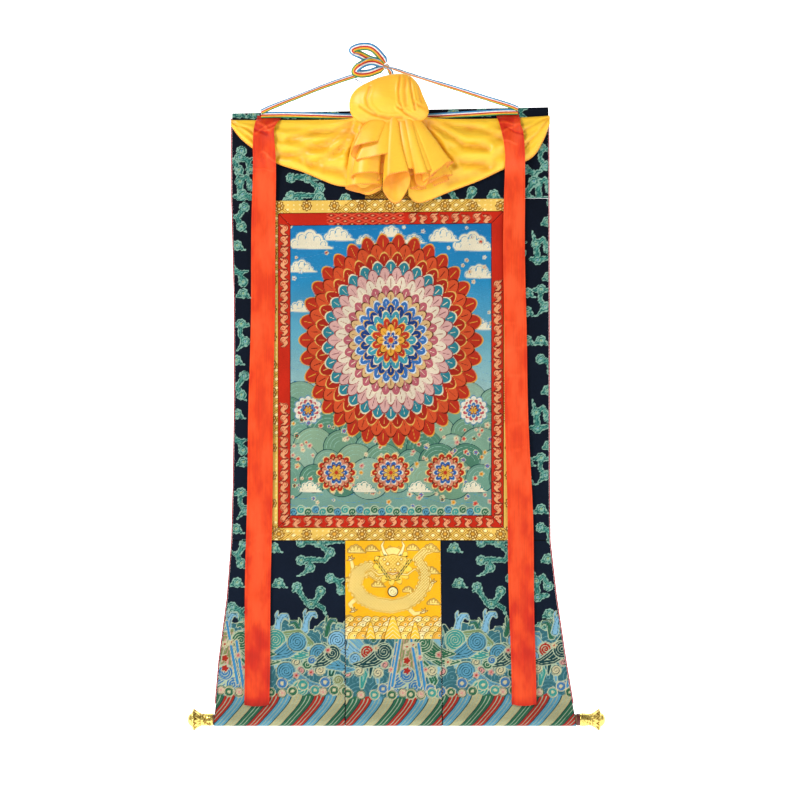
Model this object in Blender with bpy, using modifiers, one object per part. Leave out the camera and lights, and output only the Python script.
"""A thangka scroll painting, hung for show.

Navy brocade panels carry a picture in a red and a gold border. The heading is
sewn round a flat batten and the foot round a wooden rod with brass knobs. A
yellow silk veil is gathered up in front of the heading, two red ribbons hang
over it, and a five-colour tape tied in a bow carries everything.

Metres, +Z up. The origin is the knot from which the whole thing hangs. The
front faces -Y and +X is the viewer's right.
"""

import math

import bmesh
import bpy
import numpy as np
from mathutils import Matrix, Vector

MM = 0.001

# Cloth and the room between pieces
CLOTH = 2.0 * MM
SILK = 1.2 * MM
TAPE_THICKNESS = 1.0 * MM
GAP = 0.3 * MM
LAYER_ROOM = 0.7 * MM

# Heading and batten
TOP_LEFT = (-348 * MM, -104.4 * MM)
TOP_RIGHT = (365 * MM, -90.5 * MM)
BATTEN_HEIGHT = 16 * MM
BATTEN_THICKNESS = 5 * MM
HEADING_RADIUS = 4.1 * MM
HEADING_BACK = 24 * MM

# Seams and frames
TOP_SEAM_LEFT = -301.2 * MM
TOP_SEAM_RIGHT = -294.8 * MM
LOWER_SEAM = -1062 * MM
FRAME_LEFT = -271.5 * MM
FRAME_RIGHT = 290.5 * MM
FRAME_BOTTOM = -1061.3 * MM
GOLD_WIDTH = 28.4 * MM
RED_WIDTH = 27.2 * MM
DOOR_LEFT = -92.5 * MM
DOOR_RIGHT = 120.5 * MM
DOOR_FOOT_RIGHT = 124.8 * MM
DOOR_HEIGHT = 221 * MM
UPPER_PATCH_LEFT = -48 * MM
UPPER_PATCH_RIGHT = 57 * MM
UPPER_PATCH_TOP = -196 * MM

# Rod, its sleeve and its knobs
ROD_AXIS = -1462.9 * MM
ROD_RADIUS = 12 * MM
SLEEVE_RADIUS = ROD_RADIUS + GAP + CLOTH / 2
SLEEVE_THROAT = 36 * MM
PIPING_RADIUS = 1.4 * MM
COLLAR_RADIUS = 13.5 * MM
COLLAR_LENGTH = 7.4 * MM
KNOB_SIDES = 24

# How the mount hangs: still near its batten and rod, with slow waves between, upright ones in the lower panels
HEADING_FLAT = 40 * MM
STILL_BELOW_HEADING = 200 * MM
STILL_ABOVE_ROD = 120 * MM
LOOSE_START = 100 * MM
LEVEL_WAVE = 1.2 * MM
LEVEL_WAVE_PITCH = 75 * MM
UPRIGHT_WAVE = 2.2 * MM
UPRIGHT_WAVE_PITCH = 105 * MM

# Side edges of the mount: height, left edge, right edge, in millimetres
EDGE_ROWS = np.array([
    (-1478, -390, 428),
    (-1330, -377, 403),
    (-1189, -358.5, 382),
    (-1062, -348.5, 367.5),
    (-950, -345.5, 366.5),
    (-750, -342.5, 366),
    (-523, -342.5, 366),
    (-300, -348.5, 365.5),
    (-90, -349, 365),
]) * MM

# Turned knob: distance from its inner end, radius, in millimetres
KNOB_ROWS = np.array([
    (0.4, 12.4),
    (2, 14.2),
    (22, 13.4),
    (30, 15.5),
    (40, 23),
    (43, 23.6),
    (45.5, 21.5),
    (46.5, 16),
    (52, 13),
    (56, 7),
]) * MM

# Ribbons: height, left edge, right edge, how far in front of the mount's plane, in millimetres
RIBBON_LEFT_ROWS = np.array([
    (-110.5, -290, -237, 2.6),
    (-116.8, -290, -237, 2.6),
    (-120.6, -291, -238.5, 9.5),
    (-130, -294, -244.5, 17),
    (-150, -297, -250.5, 22),
    (-180, -298.5, -249, 23.5),
    (-207, -298.5, -247.5, 20),
    (-245, -299.5, -247.5, 11),
    (-330, -301.5, -248, 7),
    (-470, -302.5, -248.5, 7.5),
    (-650, -306, -252, 7),
    (-850, -310, -254, 8),
    (-1060, -314.5, -257, 7.5),
    (-1250, -317, -260, 7.5),
    (-1380, -318, -262, 7),
    (-1432, -318.5, -262.5, 8),
]) * MM
RIBBON_RIGHT_ROWS = np.array([
    (-104, 245, 295.5, 2.6),
    (-110.2, 245.5, 296, 2.6),
    (-114.4, 246.5, 297, 9.5),
    (-124, 249.5, 299.5, 17),
    (-150, 256.5, 305, 23),
    (-180, 262, 307.5, 24.5),
    (-207, 264, 308.5, 21),
    (-245, 263.5, 309, 11),
    (-330, 262, 310, 7),
    (-470, 261.5, 310.5, 7.5),
    (-650, 263, 314, 7),
    (-850, 266.5, 320, 8),
    (-1060, 271, 329, 7.5),
    (-1250, 275.5, 331, 7.5),
    (-1380, 279, 334, 7),
    (-1431, 279.5, 335, 8),
]) * MM

# Veil, bun seen from the front: angle in degrees from +X, reach from the bun's centre in millimetres
BUN_CENTRE = Vector((3.4 * MM, -38 * MM, -78 * MM))
BUN_HALF_DEPTH = 25 * MM
BUN_ROWS = (
    (0, 78),
    (25, 75),
    (50, 71),
    (75, 57),
    (95, 52),
    (120, 52),
    (145, 59),
    (165, 77),
    (185, 88),
    (208, 90),
    (228, 76),
    (266, 60),
    (300, 64),
    (320, 80),
    (338, 103),
    (352, 88),
    (360, 78),
)

# Veil, swags: lower edge from the outer corner to the waist as x, depth before the mount, height
SWAG_LEFT_TOP = (
    (-348, 4.8, -121),
    (-245, 4.8, -121),
    (-150, 10, -121),
    (-82, 22, -120),
    (-30, 38, -108),
)
SWAG_LEFT_LOW = (
    (-348, 4.8, -134),
    (-317, 6, -171),
    (-247, 7, -217),
    (-188, 8, -237),
    (-120, 9, -265),
    (-85, 10, -272),
    (-44, 12, -289),
    (-12, 16, -278),
)
SWAG_RIGHT_TOP = (
    (365, 4.8, -111),
    (285, 4.6, -116),
    (190, 9, -119),
    (104, 24, -118.5),
    (45, 38, -104),
)
SWAG_RIGHT_LOW = (
    (365, 4.8, -129),
    (349, 6, -170),
    (322, 7, -207),
    (262, 8, -231),
    (209, 8, -256),
    (143, 9, -281),
    (75, 12, -307),
    (49, 16, -292),
)
SWAG_BELLY = 11 * MM
SWAG_RIDGE = 3 * MM
SWAG_FOLDS = 4.5

# Veil, frill: x, depth and height along the waist, then along the hem, where the depth goes back and forth
FRILL_WAIST = ((-50, 40, -112), (-10, 46, -118), (25, 46, -121), (68, 40, -112))
FRILL_HEM = (
    (-70, 18, -176),
    (-86, 34, -206),
    (-80, 50, -222),
    (-82, 28, -252),
    (-64, 40, -270),
    (-34, 44, -276),
    (-14, 26, -250),
    (-8, 34, -256),
    (0, 56, -296),
    (9, 58, -316),
    (36, 50, -302),
    (52, 34, -262),
    (62, 38, -274),
    (76, 52, -284),
    (92, 50, -278),
    (100, 34, -262),
    (112, 46, -272),
    (142, 36, -232),
)

# Hanging tape: x, depth before the mount's plane, height in millimetres, and turn in degrees (0 shows its face)
TAPE_WIDTH = 11.5 * MM
TAPE_LEFT = (
    (-9, -3, -4, 30),
    (-38, -4, -11.5, 15),
    (-77, -3, -22, 10),
    (-140, -1, -44, 20),
    (-205, 1, -70, 25),
    (-258, 6, -92, 5),
    (-281, 6.6, -103, 0),
)
TAPE_RIGHT = (
    (9, 3, -4, 80),
    (32, 3, -11, 80),
    (78, 3, -26, 60),
    (150, 3, -48, 40),
    (222, 3, -71, 30),
    (272, 6.2, -87, 5),
    (294, 6.6, -96, 0),
)
TAPE_BASE = (
    (-281, 4.6, -109.5, 0),
    (-230, 4.6, -108.5, 0),
    (-150, 4.6, -110.5, 0),
    (-77, 4.6, -113, 0),
    (0, 4.6, -113.5, 0),
    (90, 4.6, -112.5, 0),
    (180, 4.6, -107.5, 0),
    (250, 4.6, -103, 0),
    (294, 4.6, -102, 0),
)
BOW_UPPER = (
    (-4, 3, 10, 0),
    (-13, 6, 22, 0),
    (-26, 8, 36, 0),
    (-40, 8, 43, 0),
    (-60, 7, 43, 5),
    (-76, 5, 37, 20),
    (-73, 1, 31, 40),
    (-58, -2, 26, 20),
    (-40, -3, 17, 0),
    (-20, -2, 13, 0),
    (-7, 0, 7, 0),
)
BOW_LOWER = (
    (-11, 7, 1, 0),
    (-26, 9, 9, 0),
    (-44, 10, 8, 0),
    (-62, 9, -1, 5),
    (-71, 6, -12, 20),
    (-60, 2, -16.5, 10),
    (-40, 1, -15, 0),
    (-22, 2, -11, 0),
    (-9, 3, -5, 0),
)
BOW_THIN = (
    (-60, 16, 24, 80),
    (-72, 17, 26, 85),
    (-76, 17, 18, 90),
    (-70, 17.5, 7, 90),
    (-62, 18, 4, 90),
    (-50, 18, 10, 90),
    (-38, 18, 17, 85),
    (-24, 17, 14, 80),
    (-13, 15.5, 10, 75),
)
TAIL_LEFT = (
    (-7, -1, -13, 70),
    (-16, -5, -20, 85),
    (-29, -5, -33, 85),
    (-43, -5, -40, 85),
    (-58, -5, -34, 80),
    (-70, -4, -27, 60),
)
TAIL_RIGHT = (
    (2, 6, -6, 0),
    (6, 8, -9, 10),
    (10, 8, -16, 20),
    (11, 6, -25, 30),
)
KNOT_RADIUS = 6 * MM

MATERIALS = {
    "navy_brocade": ((0.012, 0.030, 0.050), 0.55, 0.0),
    "gold_brocade": ((0.62, 0.44, 0.13), 0.45, 0.1),
    "red_brocade": ((0.58, 0.05, 0.02), 0.5, 0.0),
    "yellow_brocade": ((0.90, 0.50, 0.03), 0.45, 0.0),
    "brown_brocade": ((0.36, 0.21, 0.06), 0.5, 0.1),
    "picture_canvas": ((0.30, 0.38, 0.33), 0.75, 0.0),
    "piping_red": ((0.30, 0.02, 0.04), 0.6, 0.0),
    "yellow_silk": ((0.93, 0.55, 0.06), 0.4, 0.0),
    "red_satin": ((0.86, 0.10, 0.03), 0.35, 0.0),
    "tape": ((0.75, 0.62, 0.45), 0.6, 0.0),
    "brass": ((0.75, 0.55, 0.20), 0.3, 1.0),
    "wood": ((0.30, 0.17, 0.08), 0.6, 0.0),
    "collar_red": ((0.22, 0.02, 0.01), 0.5, 0.0),
}


def clear_scene():
    for thing in list(bpy.data.objects):
        bpy.data.objects.remove(thing, do_unlink=True)


def collection_named(name):
    made = bpy.data.collections.new(name)
    bpy.context.scene.collection.children.link(made)
    return made


def make_material(name):
    colour, roughness, metallic = MATERIALS[name]
    made = bpy.data.materials.new(name)
    made.use_nodes = True
    shader = made.node_tree.nodes["Principled BSDF"]
    shader.inputs["Base Color"].default_value = (*colour, 1)
    shader.inputs["Roughness"].default_value = roughness
    shader.inputs["Metallic"].default_value = metallic
    return made


def add_object(name, mesh, finish, collection):
    made = bpy.data.objects.new(name, mesh)
    mesh.materials.append(finish)
    collection.objects.link(made)
    return made


def blend(start, end, share):
    return start + (end - start) * share


def along(rows, share):
    """The point at share 0..1 of a smooth curve through every row (Catmull-Rom)."""
    rows = np.asarray(rows, float)
    place = share * (len(rows) - 1)
    first = min(int(place), len(rows) - 2)
    t = place - first
    before = rows[max(first - 1, 0)]
    a = rows[first]
    b = rows[first + 1]
    after = rows[min(first + 2, len(rows) - 1)]
    return 0.5 * (
        2 * a
        + (b - before) * t
        + (2 * before - 5 * a + 4 * b - after) * t**2
        + (3 * a - before - 3 * b + after) * t**3
    )


def edge_x(height, side):
    """x of the mount's left (side 1) or right (side 2) edge at this height."""
    return float(np.interp(height, EDGE_ROWS[:, 0], EDGE_ROWS[:, side]))


def top_edge(x):
    share = (x - TOP_LEFT[0]) / (TOP_RIGHT[0] - TOP_LEFT[0])
    return blend(TOP_LEFT[1], TOP_RIGHT[1], share)


def top_seam(x):
    share = (x - TOP_LEFT[0]) / (TOP_RIGHT[0] - TOP_LEFT[0])
    return blend(TOP_SEAM_LEFT, TOP_SEAM_RIGHT, share)


def between(value, start, end):
    """0 at start and before it, 1 at end and past it."""
    return min(max((value - start) / (end - start), 0), 1)


def hang(x, height):
    """y of the mount's cloth: flat at the batten and above the rod, gently uneven between them."""
    throat = ROD_AXIS + SLEEVE_THROAT
    still = min(
        between(height, throat, throat + STILL_ABOVE_ROD),
        between(height, TOP_LEFT[1] - HEADING_FLAT, TOP_LEFT[1] - HEADING_FLAT - STILL_BELOW_HEADING),
    )
    still = still * still * (3 - 2 * still)
    loose = between(height, LOWER_SEAM + LOOSE_START, LOWER_SEAM - 2 * LOOSE_START)
    level = LEVEL_WAVE * math.sin(height / LEVEL_WAVE_PITCH + 2.2 * x)
    upright = UPRIGHT_WAVE * math.sin(x / UPRIGHT_WAVE_PITCH + 0.8) * loose
    return still * (level + upright)


def add_sheet(name, columns, rows, place, thickness, finish, collection):
    """Cloth: a grid whose points go to place(u, v), u and v from 0 to 1, with thickness to both sides."""
    grid = bmesh.new()
    bmesh.ops.create_grid(grid, x_segments=columns, y_segments=rows, size=0.5)
    for point in grid.verts:
        point.co = Vector(place(point.co.x + 0.5, point.co.y + 0.5))
    mesh = bpy.data.meshes.new(name)
    grid.to_mesh(mesh)
    grid.free()
    mesh.shade_smooth()
    made = add_object(name, mesh, finish, collection)
    shell = made.modifiers.new("thickness", "SOLIDIFY")
    shell.thickness = thickness
    shell.offset = 0
    return made


def add_mount_sheet(name, corners, columns, rows, finish, collection, lift=0.0, thickness=CLOTH):
    """A flat piece of the mount between four corners (x, height): low left, low right, top right, top left."""
    low_left, low_right, top_right, top_left = (Vector(corner) for corner in corners)
    width = ((low_right - low_left).length + (top_right - top_left).length) / 2
    height = ((top_left - low_left).length + (top_right - low_right).length) / 2
    inset_u = 0.75 * GAP / width
    inset_v = 0.75 * GAP / height

    def place(u, v):
        u = blend(inset_u, 1 - inset_u, u)
        v = blend(inset_v, 1 - inset_v, v)
        spot = blend(blend(low_left, low_right, u), blend(top_left, top_right, u), v)
        return spot.x, hang(spot.x, spot.y) - lift, spot.y

    return add_sheet(name, columns, rows, place, thickness, finish, collection)


def heading_section():
    """(y, height above the top edge's cloth centre) down the back of the batten, over it and to the front."""
    back = 2 * HEADING_RADIUS
    rows = [
        (CLOTH + GAP, -HEADING_BACK - 7 * MM),
        (back * 0.8, -HEADING_BACK - 1.5 * MM),
        (back, -HEADING_BACK + 2 * MM),
    ]
    for step in range(5):
        angle = math.pi * step / 4
        rows.append((HEADING_RADIUS * (1 + math.cos(angle)), HEADING_RADIUS * (math.sin(angle) - 1)))
    return rows[::-1]


def add_top_panel(finish, collection):
    """Front of the panel from its seam up, then the heading sleeve over the batten and down its back."""
    section = heading_section()
    front_rows = 5
    rows = front_rows + len(section) - 1

    def place(u, v):
        row = round(v * rows)
        guess = blend(TOP_LEFT[0], TOP_RIGHT[0], u)
        if row <= front_rows:
            depth = None
            height = blend(top_seam(guess) + GAP / 2, top_edge(guess) - CLOTH / 2 - HEADING_RADIUS, row / front_rows)
        else:
            depth, above = section[row - front_rows]
            height = top_edge(guess) - CLOTH / 2 + above
        x = blend(edge_x(height, 1) + piping_room(), edge_x(height, 2) - piping_room(), u)
        return x, hang(x, height) if depth is None else depth, height

    add_sheet("top_panel", 12, rows, place, CLOTH, finish, collection)


def piping_room():
    return 2 * PIPING_RADIUS + GAP


def add_batten(finish, collection):
    left = TOP_LEFT[0] + 2 * MM
    right = TOP_RIGHT[0] - 2 * MM
    drop = CLOTH / 2 + HEADING_RADIUS + BATTEN_HEIGHT / 2
    tilt = math.atan2(TOP_RIGHT[1] - TOP_LEFT[1], TOP_RIGHT[0] - TOP_LEFT[0])
    mesh = bpy.data.meshes.new("top_batten")
    lath = bmesh.new()
    bmesh.ops.create_cube(lath, size=1)
    bmesh.ops.scale(lath, vec=(right - left, BATTEN_THICKNESS, BATTEN_HEIGHT), verts=lath.verts)
    lath.to_mesh(mesh)
    lath.free()
    made = add_object("top_batten", mesh, finish, collection)
    middle = (left + right) / 2
    made.matrix_world = Matrix.Translation((middle, HEADING_RADIUS, top_edge(middle) - drop)) @ Matrix.Rotation(
        -tilt, 4, "Y"
    )
    rounding = made.modifiers.new("rounded edges", "BEVEL")
    rounding.width = 0.8 * MM
    rounding.segments = 1


def add_side_panels(finish, collection):
    def left_place(u, v):
        height = blend(LOWER_SEAM + GAP, top_seam(TOP_LEFT[0]) - GAP, v)
        x = blend(edge_x(height, 1) + piping_room(), FRAME_LEFT - GAP / 2, u)
        return x, hang(x, height), height

    def right_place(u, v):
        height = blend(LOWER_SEAM + GAP, top_seam(FRAME_RIGHT) - GAP, v)
        x = blend(FRAME_RIGHT + GAP / 2, edge_x(height, 2) - piping_room(), u)
        return x, hang(x, height), height

    add_sheet("side_panel_left", 2, 14, left_place, CLOTH, finish, collection)
    add_sheet("side_panel_right", 2, 14, right_place, CLOTH, finish, collection)


def sleeve_section():
    """(y, height) of the rod sleeve: down the front, round the rod and up behind to just short of the front."""
    tangent = math.acos(SLEEVE_RADIUS / SLEEVE_THROAT)
    steps = 9
    rows = [(0.0, ROD_AXIS + SLEEVE_THROAT)]
    for step in range(steps + 1):
        angle = tangent + (2 * math.pi - 2 * tangent) * step / steps
        rows.append((-SLEEVE_RADIUS * math.sin(angle), ROD_AXIS + SLEEVE_RADIUS * math.cos(angle)))
    rows.append((CLOTH + 2 * GAP, ROD_AXIS + SLEEVE_THROAT - 0.004))
    return rows


def add_bottom_panels(finish, collection):
    """Three panels side by side; their seams run down from the door patch's corners."""
    section = sleeve_section()
    front_rows = 6
    rows = front_rows + len(section) - 1

    def seam_left(height):
        return DOOR_LEFT

    def seam_right(height):
        return blend(DOOR_RIGHT, DOOR_FOOT_RIGHT, (height - LOWER_SEAM) / (ROD_AXIS - LOWER_SEAM))

    def outer_left(height):
        return edge_x(height, 1) + piping_room()

    def outer_right(height):
        return edge_x(height, 2) - piping_room()

    def add_panel(name, columns, left, right, left_room, right_room):
        def place(u, v):
            row = round((1 - v) * rows)
            if row < front_rows:
                depth = None
                height = blend(LOWER_SEAM - GAP / 2, section[0][1], row / front_rows)
            else:
                depth, height = section[row - front_rows]
            x = blend(left(height) + left_room, right(height) - right_room, u)
            return x, hang(x, height) if depth is None else depth, height

        add_sheet(name, columns, rows, place, CLOTH, finish, collection)

    add_panel("bottom_panel_left", 5, outer_left, seam_left, 0, GAP / 2)
    add_panel("bottom_panel_middle", 4, seam_left, seam_right, GAP / 2, GAP / 2)
    add_panel("bottom_panel_right", 5, seam_right, outer_right, GAP / 2, 0)


def box_corners(left, right, top, bottom):
    return ((left, bottom), (right, bottom), (right, top[1]), (left, top[0]))


def inside(left, right, top, bottom, width):
    """The same box, smaller by width on every side."""
    return left + width, right - width, (top[0] - width, top[1] - width), bottom + width


def add_frame_strips(prefix, left, right, top, bottom, width, finish, collection):
    """Four mitred strips round an opening; its top edge tilts, so top holds the heights at left and right."""
    outer = box_corners(left, right, top, bottom)
    inner = box_corners(*inside(left, right, top, bottom, width))
    strips = (
        ("bottom", (outer[0], outer[1], inner[1], inner[0]), 10, 1),
        ("right", (inner[1], outer[1], outer[2], inner[2]), 1, 12),
        ("top", (inner[3], inner[2], outer[2], outer[3]), 10, 1),
        ("left", (outer[0], inner[0], inner[3], outer[3]), 1, 12),
    )
    for side, corners, columns, rows in strips:
        add_mount_sheet(f"{prefix}_{side}", corners, columns, rows, finish, collection)


def add_patches(finishes, collection):
    lift = CLOTH / 2 + LAYER_ROOM + SILK / 2
    door = (
        (DOOR_LEFT + GAP, LOWER_SEAM - DOOR_HEIGHT),
        (DOOR_RIGHT + 2 * MM, LOWER_SEAM - DOOR_HEIGHT),
        (DOOR_RIGHT, LOWER_SEAM - GAP),
        (DOOR_LEFT + GAP, LOWER_SEAM - GAP),
    )
    add_mount_sheet("door_patch", door, 4, 6, finishes["yellow_brocade"], collection, lift, SILK)
    foot = top_seam(0) + 2 * MM
    upper = (
        (UPPER_PATCH_LEFT, foot),
        (UPPER_PATCH_RIGHT, foot),
        (UPPER_PATCH_RIGHT, UPPER_PATCH_TOP),
        (UPPER_PATCH_LEFT, UPPER_PATCH_TOP),
    )
    add_mount_sheet("upper_patch", upper, 3, 4, finishes["brown_brocade"], collection, lift, SILK)


def add_piping(name, side, finish, collection):
    """A thin round cord sewn down one side edge."""
    inward = PIPING_RADIUS if side == 1 else -PIPING_RADIUS
    heights = np.linspace(ROD_AXIS + SLEEVE_THROAT, TOP_LEFT[1] - 0.012, 18)
    curve = bpy.data.curves.new(name, "CURVE")
    curve.dimensions = "3D"
    line = curve.splines.new("POLY")
    line.points.add(len(heights) - 1)
    for point, height in zip(line.points, heights):
        x = edge_x(height, side) + inward
        point.co = (x, hang(x, height), height, 1)
    curve.bevel_depth = PIPING_RADIUS
    curve.bevel_resolution = 1
    curve.use_fill_caps = True
    add_object(name, curve, finish, collection)


def add_turned(name, profile, finish, collection, inner_end, direction):
    """A piece turned about the rod's axis: rows of (distance from the inner end, radius)."""
    mesh = bpy.data.meshes.new(name)
    outline = bmesh.new()
    rows = [(profile[0][0], 0.0), *profile, (profile[-1][0], 0.0)]
    points = [outline.verts.new((radius, 0, -distance)) for distance, radius in rows]
    for first, second in zip(points, points[1:]):
        outline.edges.new((first, second))
    outline.to_mesh(mesh)
    outline.free()
    made = add_object(name, mesh, finish, collection)
    turn = made.modifiers.new("turned", "SCREW")
    turn.steps = KNOB_SIDES
    turn.render_steps = KNOB_SIDES
    turn.use_merge_vertices = True
    turn.merge_threshold = 0.00001
    made.location = (inner_end, 0, ROD_AXIS)
    made.rotation_euler = (0, -direction * math.pi / 2, 0)
    return made


def add_rod_and_knobs(finishes, collection):
    left = edge_x(ROD_AXIS, 1)
    right = edge_x(ROD_AXIS, 2)
    length = right - left
    rod_rows = ((0, ROD_RADIUS), (length / 2, ROD_RADIUS), (length, ROD_RADIUS))
    add_turned("bottom_rod", rod_rows, finishes["wood"], collection, left, 1)
    add_turned("knob_left", KNOB_ROWS, finishes["brass"], collection, left - GAP, -1)
    collar_rows = (
        (GAP, COLLAR_RADIUS - 0.8 * MM),
        (GAP + 0.8 * MM, COLLAR_RADIUS),
        (COLLAR_LENGTH - 0.8 * MM, COLLAR_RADIUS),
        (COLLAR_LENGTH, COLLAR_RADIUS - 0.8 * MM),
    )
    add_turned("rod_collar", collar_rows, finishes["collar_red"], collection, right, 1)
    add_turned("knob_right", KNOB_ROWS, finishes["brass"], collection, right + COLLAR_LENGTH, 1)


def add_ribbon(name, table, finish, collection):
    """A satin ribbon: each row of its table gives height, left edge, right edge and depth."""
    rows = 2 * (len(table) - 1)
    rounding = 7 * MM

    def place(u, v):
        height, left, right, depth = along(table, 1 - v)
        corner = abs(2 * u - 1) ** 3 * rounding if v < 0.5 / rows else 0
        hollow = 1.2 * MM * math.cos(2 * math.pi * u) * min(1, max(0, depth / 0.01 - 0.4))
        return blend(left, right, u), -depth - hollow, height + corner

    add_sheet(name, 4, rows, place, SILK, finish, collection)


def swag_place(top, low):
    """Folds that spread from the outer corner and gather again at the waist."""
    top = np.array(top) * MM
    low = np.array(low) * MM

    def place(u, v):
        upper = along(top, u)
        lower = along(low, u)
        x, depth, height = blend(upper, lower, 1 - v)
        across = math.sin(math.pi * (1 - v)) ** 0.7
        full = across * math.sin(math.pi * min(1, 0.15 + 0.85 * u)) ** 0.8
        ridge = SWAG_RIDGE * math.sin(2 * math.pi * SWAG_FOLDS * (1 - v) ** 0.9) * min(1, 3 * u) * across
        return x, -depth - SWAG_BELLY * full - ridge, height

    return place


def bun_mesh(name):
    """The gathered bun: a ball whose reach seen from the front follows BUN_ROWS, with upright pleats."""
    angles, reaches = np.array(BUN_ROWS).T
    ball = bmesh.new()
    bmesh.ops.create_uvsphere(ball, u_segments=30, v_segments=10, radius=1)
    for point in ball.verts:
        flat = math.hypot(point.co.x, point.co.y)
        angle = math.degrees(math.atan2(point.co.y, point.co.x)) % 360
        reach = np.interp(angle, angles, reaches) * MM
        x = point.co.x * reach
        height = point.co.y * reach
        pleat = 2.5 * MM * math.sin((x - 0.02) / 0.0045) * (0.01 < x < 0.09) * (1 - flat)
        depth = point.co.z * BUN_HALF_DEPTH * (1 - 0.15 * flat) + pleat
        point.co = BUN_CENTRE + Vector((x, -depth, height))
    bmesh.ops.recalc_face_normals(ball, faces=ball.faces)
    mesh = bpy.data.meshes.new(name)
    ball.to_mesh(mesh)
    ball.free()
    return mesh


def frill_place():
    """A ruffle from the waist to the hem; the depth of its hem goes back and forth in flutes."""
    waist = np.array(FRILL_WAIST) * MM
    hem = np.array(FRILL_HEM) * MM

    def place(u, v):
        upper = along(waist, u)
        lower = along(hem, u)
        share = 1 - v
        x, depth, height = blend(upper, lower, share)
        swell = 8 * MM * math.sin(math.pi * share)
        return x, -depth - swell, height

    return place


def add_veil(finish, collection, cutters):
    """One cloth: the bun, joined to both swags and to the frill."""
    veil = add_object("veil", bun_mesh("veil"), finish, collection)
    pieces = (
        add_sheet("swag_left", 16, 14, swag_place(SWAG_LEFT_TOP, SWAG_LEFT_LOW), SILK, finish, cutters),
        add_sheet("swag_right", 16, 14, swag_place(SWAG_RIGHT_TOP, SWAG_RIGHT_LOW), SILK, finish, cutters),
        add_sheet("frill", 40, 6, frill_place(), SILK, finish, cutters),
    )
    for piece in pieces:
        piece.hide_render = True
        piece.display_type = "WIRE"
        union = veil.modifiers.new("join " + piece.name, "BOOLEAN")
        union.operation = "UNION"
        union.object = piece


def add_tape(name, table, finish, collection, length_step=9 * MM):
    """A flat tape along a smooth route; each row's turn rolls it about its own run."""
    route = np.array(table, float)
    route[:, :3] *= MM
    run = np.linalg.norm(np.diff(route[:, [0, 1, 2]], axis=0), axis=1).sum()
    steps = max(6, round(run / length_step))

    def place(u, v):
        x, depth, height, turn = along(route, u)
        ahead = along(route, min(u + 0.01, 1)) - along(route, max(u - 0.01, 0))
        run_way = Vector((ahead[0], -ahead[1], ahead[2])).normalized()
        across = run_way.cross(Vector((0, 1, 0))).normalized()
        across = Matrix.Rotation(math.radians(turn), 3, run_way) @ across
        return Vector((x, -depth, height)) + across * TAPE_WIDTH * (v - 0.5)

    add_sheet(name, steps, 1, place, TAPE_THICKNESS, finish, collection)


def add_knot(finish, collection):
    mesh = bpy.data.meshes.new("tape_knot")
    ball = bmesh.new()
    bmesh.ops.create_uvsphere(ball, u_segments=12, v_segments=8, radius=KNOT_RADIUS)
    bmesh.ops.scale(ball, vec=(1, 0.9, 0.85), verts=ball.verts)
    ball.to_mesh(mesh)
    ball.free()
    add_object("tape_knot", mesh, finish, collection)


def build():
    clear_scene()
    part = collection_named("thangka_scroll")
    cutters = collection_named("cutters")
    finishes = {name: make_material(name) for name in MATERIALS}
    navy = finishes["navy_brocade"]
    add_top_panel(navy, part)
    add_batten(finishes["wood"], part)
    add_side_panels(navy, part)
    add_bottom_panels(navy, part)
    gold_box = (FRAME_LEFT, FRAME_RIGHT, (top_seam(FRAME_LEFT), top_seam(FRAME_RIGHT)), FRAME_BOTTOM)
    red_box = inside(*gold_box, GOLD_WIDTH)
    picture_box = inside(*red_box, RED_WIDTH)
    add_frame_strips("gold_border", *gold_box, GOLD_WIDTH, finishes["gold_brocade"], part)
    add_frame_strips("red_border", *red_box, RED_WIDTH, finishes["red_brocade"], part)
    add_mount_sheet("picture_panel", box_corners(*picture_box), 6, 12, finishes["picture_canvas"], part)
    add_patches(finishes, part)
    add_piping("edge_piping_left", 1, finishes["piping_red"], part)
    add_piping("edge_piping_right", 2, finishes["piping_red"], part)
    add_rod_and_knobs(finishes, part)
    add_veil(finishes["yellow_silk"], part, cutters)
    add_ribbon("red_ribbon_left", RIBBON_LEFT_ROWS, finishes["red_satin"], part)
    add_ribbon("red_ribbon_right", RIBBON_RIGHT_ROWS, finishes["red_satin"], part)
    tapes = {
        "tape_left": TAPE_LEFT,
        "tape_right": TAPE_RIGHT,
        "tape_base": TAPE_BASE,
        "bow_upper": BOW_UPPER,
        "bow_lower": BOW_LOWER,
        "bow_thin": BOW_THIN,
        "tail_left": TAIL_LEFT,
        "tail_right": TAIL_RIGHT,
    }
    for name, table in tapes.items():
        add_tape(name, table, finishes["tape"], part)
    add_knot(finishes["tape"], part)


build()
